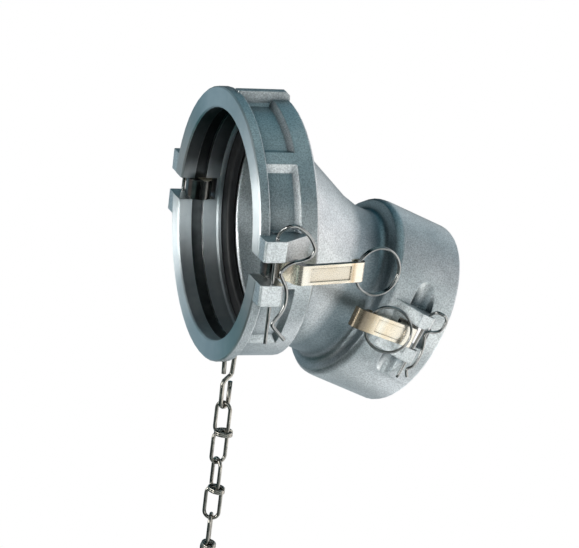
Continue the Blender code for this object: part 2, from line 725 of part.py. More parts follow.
# Clip: one straight leg through the ears, a round bow, and a springy leg held outside the ear
def smooth_path(points, steps):
    """Points of a smooth line through the given ones."""
    found = []
    last = len(points) - 1
    for i in range(last):
        p0, p1, p2, p3 = (points[min(max(i + d, 0), last)] for d in (-1, 0, 1, 2))
        for k in range(steps):
            t = k / steps
            found.append(
                0.5 * ((2 * p1) + (p2 - p0) * t + (2 * p0 - 5 * p1 + 4 * p2 - p3) * t**2
                       + (3 * p1 - p0 - 3 * p2 + p3) * t**3)
            )
    found.append(points[-1])
    return found


LARGE_CLIP = [(0, -0.0550), (0, 0.0215), (0.0003, 0.0275), (0.0019, 0.0333), (0.0059, 0.0372),
              (0.0113, 0.0373), (0.0171, 0.0343), (0.0223, 0.0298), (0.0262, 0.0237), (0.0274, 0.0195),
              (0.0250, 0.0142), (0.0185, 0.0112), (0.0125, 0.0099), (0.0080, 0.0072), (0.0047, 0.0039),
              (0.0034, 0.0010), (0.0056, -0.0034), (0.0087, -0.0095), (0.0098, -0.0157), (0.0095, -0.0227),
              (0.0072, -0.0289), (0.0039, -0.0336), (0.0016, -0.0375), (0.0032, -0.0406), (0.0077, -0.0453),
              (0.0122, -0.0500)]
SMALL_CLIP = [(0, -0.0340), (0, 0.0170), (0.0003, 0.0212), (0.0023, 0.0247), (0.0058, 0.0254),
              (0.0093, 0.0242), (0.0113, 0.0209), (0.0107, 0.0140), (0.0061, 0.0103), (0.0017, 0.0088),
              (0.0009, 0.0052), (0.0022, 0.0018), (0.0037, -0.0020), (0.0050, -0.0080), (0.0053, -0.0145),
              (0.0043, -0.0196), (0.0014, -0.0232), (0.0012, -0.0248), (0.0021, -0.0267), (0.0042, -0.0294)]


def safety_clip(name, frame, points, wire):
    """frame: x toward the springy leg, y outward, z along the leg, origin on the leg."""
    bm = bmesh.new()
    line = []
    for number, (x, z) in enumerate(points):
        lean = CLIP_LEAN * min(1, max(0, (number - 2) / 2))
        line.append(Vector((x, lean, z)))
    path = [frame @ p for p in smooth_path(line, 2)]
    add_tube(bm, path, wire, THIN_WIRE_SIDES)
    return make_object(name, bm, STEEL, frame @ Vector((0, 0, 0)))


def pivot_pin(name, frame, half):
    bm = bmesh.new()
    add_cylinder(bm, frame @ Vector((0, 0, -half)), frame @ Vector((0, 0, half)), PIN_R, 14)
    return make_object(name, bm, STEEL, frame @ Vector((0, 0, 0)))


for side_name, sign in (("near", -1), ("far", 1)):
    large, small = large_side(sign), small_side(sign)
    large_arm = arm_frame(large, LARGE_PIN_X, LARGE_PIN_Y, 1)
    small_station = arm_frame(small, SMALL_PIN_AT, SMALL_PIN_Y, -1)
    small_arm = small_station @ Matrix.Rotation(math.radians(SMALL_DROOP_DEG), 4, "Y")
    cam_arm(f"large_cam_arm_{side_name}", large_arm, LARGE_ARM)
    cam_arm(f"small_cam_arm_{side_name}", small_arm, SMALL_ARM)
    pivot_pin(f"large_pin_{side_name}", large_arm, EAR_HALF_SPAN - PIN_END_GAP)
    pivot_pin(f"small_pin_{side_name}", small_station, SMALL_EAR_HALF_SPAN - PIN_END_GAP)
    split_ring(f"large_pull_ring_{side_name}", large_arm, LARGE_ARM)
    split_ring(f"small_pull_ring_{side_name}", small_arm, SMALL_ARM)
    large_clip = large @ Matrix.Translation((LARGE_PIN_X - CLIP_FORWARD, LARGE_PIN_Y + CLIP_OUT, 0))
    small_clip = small @ Matrix.Translation((SMALL_PIN_AT + SMALL_CLIP_FORWARD, SMALL_PIN_Y + CLIP_OUT, 0))
    safety_clip(f"large_clip_{side_name}", large_clip, LARGE_CLIP, CLIP_WIRE_R)
    safety_clip(f"small_clip_{side_name}", small_clip, SMALL_CLIP, CLIP_WIRE_R * 0.86)


# Chain: an S hook through the eye, then double-loop links
def turned(deg, across, down, through=0.0):
    """Point in a vertical plane through the chain line, turned about it."""
    t = math.radians(deg)
    return Vector((CHAIN_X + across * math.cos(t) - through * math.sin(t),
                   across * math.sin(t) + through * math.cos(t), down))


HOOK_INSIDE = HOOK_HALF - HOOK_WIRE_R
HOOK_RISE = HOOK_INSIDE - math.sqrt(HOOK_INSIDE**2 - (CHAIN_EYE_THICK / 2) ** 2)
HOOK_TOP = -CHAIN_EYE_Z - CHAIN_HOLE_R + HOOK_WIRE_R + HOOK_RISE + TOUCH_GAP


def chain_hook():
    bm = bmesh.new()
    r = HOOK_HALF
    bottom = HOOK_TOP - HOOK_LENGTH
    up_arc = arc((0, HOOK_TOP - r), r, 180, 0, 8)
    down_arc = arc((0, bottom + r), r, 180, 360, 8)
    shape = [(-r, HOOK_TOP - 0.0172)] + up_arc
    shape += [(r, HOOK_TOP - 0.0175), (r * 0.8, HOOK_TOP - 0.0196), (0, HOOK_TOP - 0.0214)]
    shape += [(-r * 0.8, HOOK_TOP - 0.0232), (-r * 1.1, HOOK_TOP - 0.0260)] + down_arc
    shape += [(r, HOOK_TOP - 0.0250)]
    path = [turned(HOOK_TURN_DEG * min(1, max(0, (HOOK_TOP - 0.012 - z) / 0.008)), x, z) for x, z in shape]
    add_tube(bm, path, HOOK_WIRE_R, WIRE_SIDES)
    return make_object("chain_hook", bm, CHAIN, (CHAIN_X, 0, HOOK_TOP))


def loop_path(deg, top, bottom, half):
    shape = arc((0, top - half), half, 180, 0, 6) + arc((0, bottom + half), half, 0, -180, 6)
    return [turned(deg, x, z) for x, z in shape]


def chain_link(name, top, deg):
    middle = top - LINK_LENGTH / 2
    lap = LINK_WIRE_R
    upper = bmesh.new()
    add_tube(upper, loop_path(deg, top, middle - lap, LINK_HALF_WIDTH), LINK_WIRE_R, LINK_SIDES, closed=True)
    link = make_object(name, upper, CHAIN, (CHAIN_X, 0, top))
    lower = bmesh.new()
    bottom = top - LINK_LENGTH
    add_tube(lower, loop_path(deg + LINK_TWIST_DEG, middle + lap, bottom, LINK_HALF_WIDTH), LINK_WIRE_R,
             LINK_SIDES, closed=True)
    cut_or_join(link, make_object(name + "_lower_loop", lower, None), "UNION")
    wraps = bmesh.new()
    for k in (-1, 1):
        turn = deg + LINK_TWIST_DEG / 2
        wrap = []
        for x, y in arc((0, 0), 1, 0, 330, 11):
            across = WRAP_SHIFT + WRAP_HALF_WIDTH * x
            wrap.append(turned(turn, across, middle + k * lap, WRAP_HALF_DEPTH * y))
        add_tube(wraps, wrap, LINK_WIRE_R, LINK_SIDES, closed=True)
    cut_or_join(link, make_object(name + "_wraps", wraps, None), "UNION")
    return link


chain_hook()
link_top = HOOK_TOP - HOOK_LENGTH + HOOK_WIRE_R + LINK_WIRE_R + TOUCH_GAP
link_turn = FIRST_LINK_DEG
for number in range(1, LINK_COUNT + 1):
    chain_link(f"chain_link_{number}", link_top, link_turn)
    link_top -= LINK_LENGTH - 2 * LINK_WIRE_R - TOUCH_GAP
    link_turn += NEXT_LINK_DEG
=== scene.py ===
import json
import math

import bmesh
import bpy
from mathutils import Matrix, Vector


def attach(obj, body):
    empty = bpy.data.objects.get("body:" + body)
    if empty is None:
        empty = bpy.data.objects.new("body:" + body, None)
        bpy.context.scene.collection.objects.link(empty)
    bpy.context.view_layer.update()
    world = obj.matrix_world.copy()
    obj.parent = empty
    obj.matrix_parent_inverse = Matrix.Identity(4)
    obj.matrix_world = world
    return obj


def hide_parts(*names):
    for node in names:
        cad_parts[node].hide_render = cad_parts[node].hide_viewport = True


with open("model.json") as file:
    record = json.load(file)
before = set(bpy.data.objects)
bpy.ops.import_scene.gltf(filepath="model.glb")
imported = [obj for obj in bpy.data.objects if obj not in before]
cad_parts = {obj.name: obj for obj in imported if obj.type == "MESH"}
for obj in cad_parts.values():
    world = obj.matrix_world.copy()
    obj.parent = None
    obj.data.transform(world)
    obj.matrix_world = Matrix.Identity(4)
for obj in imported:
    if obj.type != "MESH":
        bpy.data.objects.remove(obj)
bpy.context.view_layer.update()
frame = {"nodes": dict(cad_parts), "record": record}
nodes = frame["nodes"]
flanks = (("near", -1), ("far", 1))
print("frame loaded", len(nodes), "pieces")

# the small coupler's axis, as in the frame
bendAngle = math.radians(22.5)
smallDir = Vector((math.cos(bendAngle), 0, -math.sin(bendAngle)))
smallUp = Vector((math.sin(bendAngle), 0, math.cos(bendAngle)))
smallStart = Vector((-0.0067, 0, 0))
largeDir = Vector((1, 0, 0))

# values that the finishes share: noise ranges, painted shade in corners, and rubbed edges with a painted
# highlight
finishing = {"patchRange": (0.3, 0.7), "turnedPatchRange": (0.35, 0.65), "grainRange": (0.36, 0.64),
             "speckRange": (0.35, 0.65), "fineDetail": 3.0, "coarseDetail": 2.0, "grainRoughness": 0.65,
             "speckFiner": 1.9, "samples": 6, "openness": (0.40, 0.98), "edgeAgree": (0.80, 0.985),
             "glossTurn": 0.25, "markDepth": 0.0002}


def newMaterial(name):
    found = bpy.data.materials.new(name)
    found.use_nodes = True
    tree = found.node_tree
    coords = tree.nodes.new("ShaderNodeTexCoord")
    return found, tree, tree.nodes["Principled BSDF"], coords.outputs["Object"]


def noiseOn(tree, coords, scale, detail, roughness=0.55):
    tex = tree.nodes.new("ShaderNodeTexNoise")
    tex.inputs["Scale"].default_value = scale
    tex.inputs["Detail"].default_value = detail
    tex.inputs["Roughness"].default_value = roughness
    tree.links.new(coords, tex.inputs["Vector"])
    return tex.outputs["Fac"]


def rampOn(tree, source, stops):
    ramp = tree.nodes.new("ShaderNodeValToRGB")
    band = ramp.color_ramp
    while len(band.elements) < len(stops):
        band.elements.new(0.5)
    for element, (place, color) in zip(band.elements, stops):
        element.position = place
        element.color = (*color, 1)
    tree.links.new(source, ramp.inputs["Fac"])
    return ramp.outputs["Color"]


def rangeOn(tree, source, fromLow, fromHigh, toLow, toHigh):
    node = tree.nodes.new("ShaderNodeMapRange")
    node.interpolation_type = "SMOOTHSTEP"
    for key, value in (("From Min", fromLow), ("From Max", fromHigh), ("To Min", toLow), ("To Max", toHigh)):
        node.inputs[key].default_value = value
    tree.links.new(source, node.inputs["Value"])
    return node.outputs["Result"]


def vectorMath(tree, operation, first, second=None):
    node = tree.nodes.new("ShaderNodeVectorMath")
    node.operation = operation
    for socket, value in zip(node.inputs, (first, second)):
        if value is None:
            continue
        if isinstance(value, bpy.types.NodeSocket):
            tree.links.new(value, socket)
        else:
            socket.default_value = value
    return node


# inputs 6 and 7 and output 2 are the node's color sockets
def mixColors(tree, factor, first, second):
    node = tree.nodes.new("ShaderNodeMix")
    node.data_type = "RGBA"
    for socket, value in ((node.inputs["Factor"], factor), (node.inputs[6], first), (node.inputs[7], second)):
        if isinstance(value, bpy.types.NodeSocket):
            tree.links.new(value, socket)
        else:
            socket.default_value = value if isinstance(value, float) else (*value, 1)
    return node.outputs[2]


# painted shade in corners: the color goes to the shade where close walls stand round a point
def cornerShadeOn(tree, color, reach, shade):
    hollow = tree.nodes.new("ShaderNodeAmbientOcclusion")
    hollow.samples = finishing["samples"]
    hollow.only_local = True
    hollow.inputs["Distance"].default_value = reach
    openness = rangeOn(tree, hollow.outputs["AO"], *finishing["openness"], 0.0, 1.0)
    darker = vectorMath(tree, "MULTIPLY", color, shade).outputs["Vector"]
    return mixColors(tree, openness, darker, color)


# painted shade that darkens the color with height
def shadeByHeightOn(tree, coords, color, look):
    split = tree.nodes.new("ShaderNodeSeparateXYZ")
    tree.links.new(coords, split.inputs["Vector"])
    sooty = vectorMath(tree, "SCALE", color)
    shade = rangeOn(tree, split.outputs["Z"], look["shadeFromHeight"], look["shadeToHeight"], 1.0, look["topShade"])
    tree.links.new(shade, sooty.inputs["Scale"])
    return sooty.outputs["Vector"]


# rounded edges, lighter where they are rubbed to bare metal, and this also paints a highlight along them
def edgeOn(tree, color, look):
    bevel = tree.nodes.new("ShaderNodeBevel")
    bevel.samples = finishing["samples"]
    bevel.inputs["Radius"].default_value = look["edgeRadius"]
    normal = bevel.outputs["Normal"]
    flat = tree.nodes.new("ShaderNodeNewGeometry").outputs["Normal"]
    agree = vectorMath(tree, "DOT_PRODUCT", normal, flat).outputs["Value"]
    edgeRubAndHighlight = rangeOn(tree, agree, *finishing["edgeAgree"], look["edgeRubAndHighlight"], 0.0)
    return normal, mixColors(tree, edgeRubAndHighlight, color, look["edgeBareAndHighlight"])


# bumps on top of each other: (height, strength, distance) for each
def bumpOn(tree, shader, heights, last=None):
    for source, strength, distance in heights:
        bump = tree.nodes.new("ShaderNodeBump")
        bump.inputs["Strength"].default_value = strength
        bump.inputs["Distance"].default_value = distance
        tree.links.new(source, bump.inputs["Height"])
        if last:
            tree.links.new(last, bump.inputs["Normal"])
        last = bump.outputs["Normal"]
    tree.links.new(last, shader.inputs["Normal"])


# painted shade along a straight line: distances from the origin, each with the color that multiplies there
def paintShadeAlongOn(tree, coords, color, origin, direction, stops):
    run = vectorMath(tree, "SUBTRACT", coords, origin).outputs["Vector"]
    along = vectorMath(tree, "DOT_PRODUCT", run, direction).outputs["Value"]
    far = stops[-1][0]
    share = tree.nodes.new("ShaderNodeMapRange")
    share.inputs["From Max"].default_value = far
    tree.links.new(along, share.inputs["Value"])
    paintedShadeTint = rampOn(tree, share.outputs["Result"], [(reach / far, shade) for reach, shade in stops])
    return vectorMath(tree, "MULTIPLY", color, paintedShadeTint).outputs["Vector"]


# cast or drawn surface: patches, grain and specks; the look's keys say what else is on it
def castFinish(name, look, origin=None, direction=None):
    found, tree, shader, coords = newMaterial(name)
    shader.inputs["Metallic"].default_value = look["metallic"]
    patches = noiseOn(tree, coords, look["patchScale"], finishing["fineDetail"])
    grain = noiseOn(tree, coords, look["grainScale"], finishing["fineDetail"], finishing["grainRoughness"])
    speckScale = look["grainScale"] * finishing["speckFiner"]
    speck = noiseOn(tree, coords, speckScale, finishing["coarseDetail"])
    color = rampOn(tree, patches, list(zip(finishing["patchRange"], (look["dark"], look["light"]))))
    spread = look["grainColor"]
    shade = rangeOn(tree, grain, *finishing["grainRange"], 1 - spread, 1 + spread)
    color = vectorMath(tree, "SCALE", color)
    tree.links.new(shade, color.inputs["Scale"])
    color = color.outputs["Vector"]
    # painted shade along a line from the origin
    if origin is not None:
        color = paintShadeAlongOn(tree, coords, color, origin, direction, look["paintedShadeTint"])
    # painted shade in corners
    if "cornerShadeReach" in look:
        color = cornerShadeOn(tree, color, look["cornerShadeReach"], look["cornerShade"])
    # painted shade, darker towards the top
    if "shadeFromHeight" in look:
        color = shadeByHeightOn(tree, coords, color, look)
    normal = None
    # rubbed edges lighter, partly a painted highlight
    if "edgeRadius" in look:
        normal, color = edgeOn(tree, color, look)
    tree.links.new(color, shader.inputs["Base Color"])
    roughness = rangeOn(tree, speck, *finishing["speckRange"], *look["roughness"])
    tree.links.new(roughness, shader.inputs["Roughness"])
    heights = [(patches, look["waveBump"], look["waveDepth"]), (grain, look["grainBump"], look["grainDepth"])]
    bumpOn(tree, shader, heights, normal)
    return found


# turned metal: fine marks round an axis, with the gloss drawn out across them
def turnedFinish(name, look, axisPoint, axisDir):
    found, tree, shader, coords = newMaterial(name)
    shader.inputs["Metallic"].default_value = 1.0
    arm = vectorMath(tree, "SUBTRACT", coords, axisPoint).outputs["Vector"]
    around = vectorMath(tree, "CROSS_PRODUCT", arm, axisDir).outputs["Vector"]
    away = vectorMath(tree, "LENGTH", around).outputs["Value"]
    run = vectorMath(tree, "DOT_PRODUCT", arm, axisDir).outputs["Value"]
    place = tree.nodes.new("ShaderNodeCombineXYZ")
    tree.links.new(away, place.inputs["X"])
    tree.links.new(run, place.inputs["Y"])
    marks = noiseOn(tree, place.outputs["Vector"], look["markScale"], finishing["coarseDetail"])
    patches = noiseOn(tree, coords, look["patchScale"], finishing["fineDetail"])
    color = rampOn(tree, patches, list(zip(finishing["turnedPatchRange"], (look["dark"], look["light"]))))
    # painted shade in corners
    color = cornerShadeOn(tree, color, look["cornerShadeReach"], look["cornerShade"])
    # painted shade, darker towards the top
    if "shadeFromHeight" in look:
        color = shadeByHeightOn(tree, coords, color, look)
    normal, color = edgeOn(tree, color, look)
    tree.links.new(color, shader.inputs["Base Color"])
    roughness = rangeOn(tree, marks, *finishing["speckRange"], *look["roughness"])
    tree.links.new(roughness, shader.inputs["Roughness"])
    turn = tree.nodes.new("ShaderNodeVectorTransform")
    turn.vector_type, turn.convert_from, turn.convert_to = "VECTOR", "OBJECT", "WORLD"
    tree.links.new(around, turn.inputs["Vector"])
    tree.links.new(turn.outputs["Vector"], shader.inputs["Tangent"])
    shader.inputs["Anisotropic"].default_value = look["stretch"]
    shader.inputs["Anisotropic Rotation"].default_value = finishing["glossTurn"]
    bumpOn(tree, shader, [(marks, look["markBump"], finishing["markDepth"])], normal)
    return found


# looks: distances in metres; painted shade darkens the neck and the shoulder fillet, counted along the small
# coupler's axis
castLook = {"metallic": 1.0, "patchScale": 45.0, "dark": (0.65, 0.69, 0.705), "light": (0.80, 0.83, 0.84),
            "grainScale": 900.0, "grainColor": 0.20, "roughness": (0.29, 0.42), "grainBump": 0.32,
            "grainDepth": 0.0009, "waveBump": 0.20, "waveDepth": 0.0020, "edgeRadius": 0.0009,
            "edgeRubAndHighlight": 0.75, "edgeBareAndHighlight": (0.97, 0.98, 0.98),
            "paintedShadeTint": [(0.0, (1, 1, 1)), (0.092, (1, 1, 1)), (0.102, (0.45, 0.51, 0.54)),
                     (0.118, (0.45, 0.51, 0.54)), (0.1235, (0.66, 0.68, 0.70)), (0.128, (0.66, 0.68, 0.70)),
                     (0.132, (1, 1, 1)), (0.2, (1, 1, 1))],
            "cornerShadeReach": 0.016, "cornerShade": (0.13, 0.18, 0.21)}
# inside of the casting: painted shade, darker towards the top
insideLook = dict(castLook, shadeFromHeight=0.010, shadeToHeight=0.055, topShade=0.08)
turnedLook = {"patchScale": 40.0, "dark": (0.76, 0.83, 0.86), "light": (0.88, 0.93, 0.95),
              "markScale": 1400.0, "roughness": (0.38, 0.50), "markBump": 0.10, "stretch": 0.95,
              "edgeRadius": 0.0005, "edgeRubAndHighlight": 0.9, "edgeBareAndHighlight": (0.98, 0.98, 0.98),
              "cornerShadeReach": 0.030, "cornerShade": (0.22, 0.25, 0.27)}
# the bore: painted shade, darker towards the top
boreLook = dict(turnedLook, dark=(0.72, 0.78, 0.81), light=(0.90, 0.94, 0.96),
                shadeFromHeight=0.0, shadeToHeight=0.030, topShade=0.16)
# relief groove in the bore: colour painted near black as shade
reliefShadeLook = dict(boreLook, dark=(0.15, 0.16, 0.165), light=(0.30, 0.315, 0.32))
brassLook = {"metallic": 0.75, "patchScale": 90.0, "dark": (0.94, 0.86, 0.73), "light": (1.0, 0.95, 0.86),
             "grainScale": 900.0, "grainColor": 0.03, "roughness": (0.22, 0.30), "grainBump": 0.04,
             "grainDepth": 0.0003, "waveBump": 0.15, "waveDepth": 0.0012,
             "cornerShadeReach": 0.0026, "cornerShade": (0.14, 0.085, 0.04)}
# the hub round each pin: colour painted near black as shade in the slot
hubShadeLook = {"metallic": 1.0, "patchScale": 120.0, "dark": (0.05, 0.05, 0.05), "light": (0.14, 0.14, 0.135),
           "grainScale": 900.0, "grainColor": 0.10, "roughness": (0.14, 0.26), "grainBump": 0.10,
           "grainDepth": 0.0003, "waveBump": 0.15, "waveDepth": 0.0015}
steelLook = {"metallic": 1.0, "patchScale": 160.0, "dark": (0.29, 0.29, 0.285), "light": (0.45, 0.45, 0.44),
             "grainScale": 1800.0, "grainColor": 0.06, "roughness": (0.04, 0.10), "grainBump": 0.03,
             "grainDepth": 0.0002, "waveBump": 0.1, "waveDepth": 0.0006}
chainLook = {"metallic": 1.0, "patchScale": 200.0, "dark": (0.26, 0.245, 0.218),
             "light": (0.50, 0.475, 0.425), "grainScale": 1800.0, "grainColor": 0.08,
             "roughness": (0.06, 0.14), "grainBump": 0.06, "grainDepth": 0.0002,
             "waveBump": 0.15, "waveDepth": 0.0008, "cornerShadeReach": 0.0025, "cornerShade": (0.30, 0.27, 0.22)}
rubberLook = {"metallic": 0.0, "patchScale": 80.0, "dark": (0.010, 0.010, 0.011),
              "light": (0.022, 0.022, 0.024), "grainScale": 1500.0, "grainColor": 0.15,
              "roughness": (0.38, 0.60), "grainBump": 0.15, "grainDepth": 0.0002,
              "waveBump": 0.1, "waveDepth": 0.0006}

castMetal = castFinish("grey cast aluminium", castLook, smallStart, smallDir)
castInsideShaded = castFinish("cast inside shaded towards the top", insideLook)
turnedLarge = turnedFinish("turned large mouth", turnedLook, Vector((0, 0, 0)), largeDir)
turnedBore = turnedFinish("turned large bore", boreLook, Vector((0, 0, 0)), largeDir)
reliefShaded = turnedFinish("bore relief painted dark as shade", reliefShadeLook, Vector((0, 0, 0)), largeDir)
turnedSmall = turnedFinish("turned small mouth", turnedLook, smallStart, smallDir)
paleBrass = castFinish("pale cast brass", brassLook)
hubShade = castFinish("cam hub painted dark as shade", hubShadeLook)
wireSteel = castFinish("bright wire steel", steelLook)
chainSteel = castFinish("dull chain steel", chainLook)
gasketRubber = castFinish("black gasket rubber", rubberLook)
print("finishes made")

finishes = {"cast_aluminium": castMetal, "pale_brass": paleBrass, "bright_steel": wireSteel,
            "chain_steel": chainSteel, "rubber": gasketRubber}
slotOf = {row["node"]: row["material_slot"] for row in frame["record"]["subparts"]}

# pieces that are shaded smooth, each up to its angle
smoothAngle = {"body_casting": 32, "gasket": 40, "pin": 50}


# smooth the shading across shallow edges: every corner takes the mean normal of its near-level faces
def shadeSmooth(obj, degrees):
    mesh = obj.data
    limit = math.cos(math.radians(degrees))
    places = [tuple(vertex.co) for vertex in mesh.vertices]
    facesAt = {}
    for face in mesh.polygons:
        face.use_smooth = True
        for number in face.vertices:
            facesAt.setdefault(places[number], []).append(face)
    normals = []
    for face in mesh.polygons:
        for number in face.vertices:
            total = Vector()
            for other in facesAt[places[number]]:
                if other.normal.dot(face.normal) > limit:
                    total += other.normal * other.area
            normals.append(total.normalized())
    mesh.normals_split_custom_set(normals)


for name, node in nodes.items():
    node.data.materials.clear()
    node.data.materials.append(finishes[slotOf[name]])
    for word, degrees in smoothAngle.items():
        if word in name:
            shadeSmooth(node, degrees)

# faces of the casting by their place: turned mouths, bores and lip, relief painted dark as shade, inside with
# painted shade towards the top
turned = {"frontDepth": 0.0012, "frontRadius": 0.1046, "boreTop": 0.0912, "boreEnd": 0.0365, "boreLow": 0.08,
          "reliefRadius": 0.0896, "reliefFrom": 0.0111, "reliefTo": 0.0209, "lipFrom": 0.0318,
          "insideFrom": 0.0425, "coneEnd": 0.0750, "neckInside": 0.0575,
          "smallEnd": 0.1866, "smallBore": 0.0623, "smallBoreFrom": 0.1405}
casting = nodes["body_casting"].data
slotIndex = {}
for kind in (turnedLarge, turnedSmall, turnedBore, reliefShaded, castInsideShaded):
    slotIndex[kind.name] = len(casting.materials)
    casting.materials.append(kind)
for face in casting.polygons:
    middle = face.center
    radius = math.hypot(middle.y, middle.z)
    along = (middle - smallStart).dot(smallDir)
    offLine = (middle - smallStart) - smallDir * along
    offAxis = offLine.length
    isFront = middle.x < turned["frontDepth"] and radius < turned["frontRadius"]
    isBore = turned["boreLow"] < radius < turned["boreTop"] and middle.x < turned["boreEnd"]
    isSmallBore = offAxis < turned["smallBore"] and along > turned["smallBoreFrom"]
    stations = [casting.vertices[number].co.x for number in face.vertices]
    start, end = min(stations), max(stations)
    isRelief = radius > turned["reliefRadius"] and turned["reliefFrom"] < start and end < turned["reliefTo"]
    isLip = isBore and turned["lipFrom"] < start
    if middle.x < turned["coneEnd"]:
        isInside = middle.y * face.normal.y + middle.z * face.normal.z < 0 and radius < turned["boreTop"]
    else:
        isInside = offLine.dot(face.normal) < 0 and offAxis < turned["neckInside"]
    if isFront or isLip:
        face.material_index = slotIndex[turnedLarge.name]
    elif isBore:
        face.material_index = slotIndex[reliefShaded.name if isRelief else turnedBore.name]
    elif along > turned["smallEnd"] or isSmallBore:
        face.material_index = slotIndex[turnedSmall.name]
    elif isInside and turned["insideFrom"] < start:
        face.material_index = slotIndex[castInsideShaded.name]
print("solids dressed")


# frames of the couplers: local x along the axis, y outward on one side, z up
def couplerFrame(size, sign):
    if size == "large":
        return Matrix(((1, 0, 0, 0), (0, sign, 0, 0), (0, 0, 1, 0), (0, 0, 0, 1)))
    turnedFrame = Matrix((smallDir, Vector((0, sign, 0)), smallUp)).transposed().to_4x4()
    return Matrix.Translation(smallStart) @ turnedFrame


# round tube along a path, either with two flat ends or closed into a loop
def tubeMesh(bm, path, radius, sides, closed=False):
    count = len(path)
    circles = []
    normal = None
    for i, point in enumerate(path):
        if closed:
            ahead = path[(i + 1) % count] - path[i - 1]
        else:
            ahead = path[min(i + 1, count - 1)] - path[max(i - 1, 0)]
        ahead = ahead.normalized()
        normal = ahead.orthogonal() if normal is None else normal
        normal = (normal - ahead * normal.dot(ahead)).normalized()
        side = ahead.cross(normal)
        turns = [2 * math.pi * k / sides for k in range(sides)]
        circles.append([point + radius * (math.cos(t) * normal + math.sin(t) * side) for t in turns])
    verts = [[bm.verts.new(p) for p in circle] for circle in circles]
    pairs = list(zip(verts, verts[1:]))
    if closed:
        shift = min(range(sides), key=lambda k: (circles[-1][0] - circles[0][k]).length)
        pairs.append((verts[-1], verts[0][shift:] + verts[0][:shift]))
    for first, second in pairs:
        for i in range(sides):
            j = (i + 1) % sides
            bm.faces.new((first[i], first[j], second[j], second[i])).smooth = True
    if not closed:
        bm.faces.new(verts[0])
        bm.faces.new(verts[-1])


def meshObject(name, bm, finish):
    mesh = bpy.data.meshes.new(name)
    bm.to_mesh(mesh)
    bm.free()
    mesh.materials.append(finish)
    made = bpy.data.objects.new(name, mesh)
    bpy.context.scene.collection.objects.link(made)
    return made


def finishPiece(name, bm, finish, body, nodeName):
    bmesh.ops.recalc_face_normals(bm, faces=bm.faces)
    piece = meshObject(name, bm, finish)
    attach(piece, body)
    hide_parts(nodeName)


# smooth curve through all the points
def smoothPath(points, steps):
    found = []
    last = len(points) - 1
    for i in range(last):
        p0, p1, p2, p3 = (points[min(max(i + d, 0), last)] for d in (-1, 0, 1, 2))
        for k in range(steps):
            t = k / steps
            found.append(0.5 * ((2 * p1) + (p2 - p0) * t + (2 * p0 - 5 * p1 + 4 * p2 - p3) * t**2
                                + (3 * p1 - p0 - 3 * p2 + p3) * t**3))
    found.append(points[-1])
    return found


# safety clips: straight leg, round bow and springy leg of drawn wire, each point (along, up) from the leg
clips = {"wire": 0.0014, "smallPart": 0.86, "lean": 0.0058, "leanFrom": 3, "leanOver": 2,
         "sides": 16, "steps": 6, "largeLeg": (0.0105, 0.1120), "smallLeg": (0.1636, 0.0840)}
largeClip = [(0, -0.0550), (0, -0.02), (0, 0.0215), (0.0003, 0.0275), (0.0019, 0.0333), (0.0059, 0.0372),
             (0.0113, 0.0373), (0.0171, 0.0343), (0.0223, 0.0298), (0.0262, 0.0237), (0.0274, 0.0195),
             (0.0250, 0.0142), (0.0185, 0.0112), (0.0125, 0.0099), (0.0080, 0.0072), (0.0047, 0.0039),
             (0.0034, 0.0010), (0.0056, -0.0034), (0.0087, -0.0095), (0.0098, -0.0157), (0.0095, -0.0227),
             (0.0072, -0.0289), (0.0039, -0.0336), (0.0016, -0.0375), (0.0032, -0.0406), (0.0077, -0.0453),
             (0.0122, -0.0500)]
smallClip = [(0, -0.0340), (0, -0.01), (0, 0.0170), (0.0003, 0.0212), (0.0023, 0.0247), (0.0058, 0.0254),
             (0.0093, 0.0242), (0.0113, 0.0209), (0.0107, 0.0140), (0.0061, 0.0103), (0.0017, 0.0088),
             (0.0009, 0.0052), (0.0022, 0.0018), (0.0037, -0.0020), (0.0050, -0.0080), (0.0053, -0.0145),
             (0.0043, -0.0196), (0.0014, -0.0232), (0.0012, -0.0248), (0.0021, -0.0267), (0.0042, -0.0294)]


def safetyClip(size, side, sign):
    points = largeClip if size == "large" else smallClip
    along, out = clips[size + "Leg"]
    place = couplerFrame(size, sign) @ Matrix.Translation((along, out, 0))
    line = []
    for number, (x, z) in enumerate(points):
        leaning = min(1, max(0, (number - clips["leanFrom"]) / clips["leanOver"]))
        line.append(Vector((x, clips["lean"] * leaning, z)))
    radius = clips["wire"] * (1 if size == "large" else clips["smallPart"])
    bm = bmesh.new()
    tubeMesh(bm, [place @ p for p in smoothPath(line, clips["steps"])], radius, clips["sides"])
    nodeName = f"{size}_clip_{side}"
    finishPiece(f"{size}_clip_wire_{side}", bm, wireSteel, "casting", nodeName)


# arm frames: origin on the pin, x back along the body, y outward, z along the pin
armPlaces = {"large": {"pin": (0.0145, 0.0980), "back": 1, "tilt": 0.0, "eye": (0.063425, 0.008128)},
             "small": {"pin": (0.16, 0.0700), "back": -1, "tilt": 4.0, "eye": (0.041782, 0.014126)}}


def armFrame(size, sign):
    place = armPlaces[size]
    along, out = place["pin"]
    turn = Matrix.Rotation(math.radians(place["tilt"]), 4, "Y")
    station = couplerFrame(size, sign) @ Matrix.Translation((along, out, 0))
    return station @ Matrix.Diagonal((place["back"], 1, 1, 1)) @ turn


# pull rings: two turns of wire in each arm's eye
rings = {"wire": 0.00095, "pitch": 0.0021, "play": 0.0008, "turns": 1.94, "start": 200, "steps": 150,
         "sides": 14, "crossFrom": 0.44, "crossOver": 0.12,
         "large": {"radius": 0.0182, "angle": -7.5, "droop": 5.0},
         "small": {"radius": 0.0174, "angle": 157.0, "droop": 0.0}}


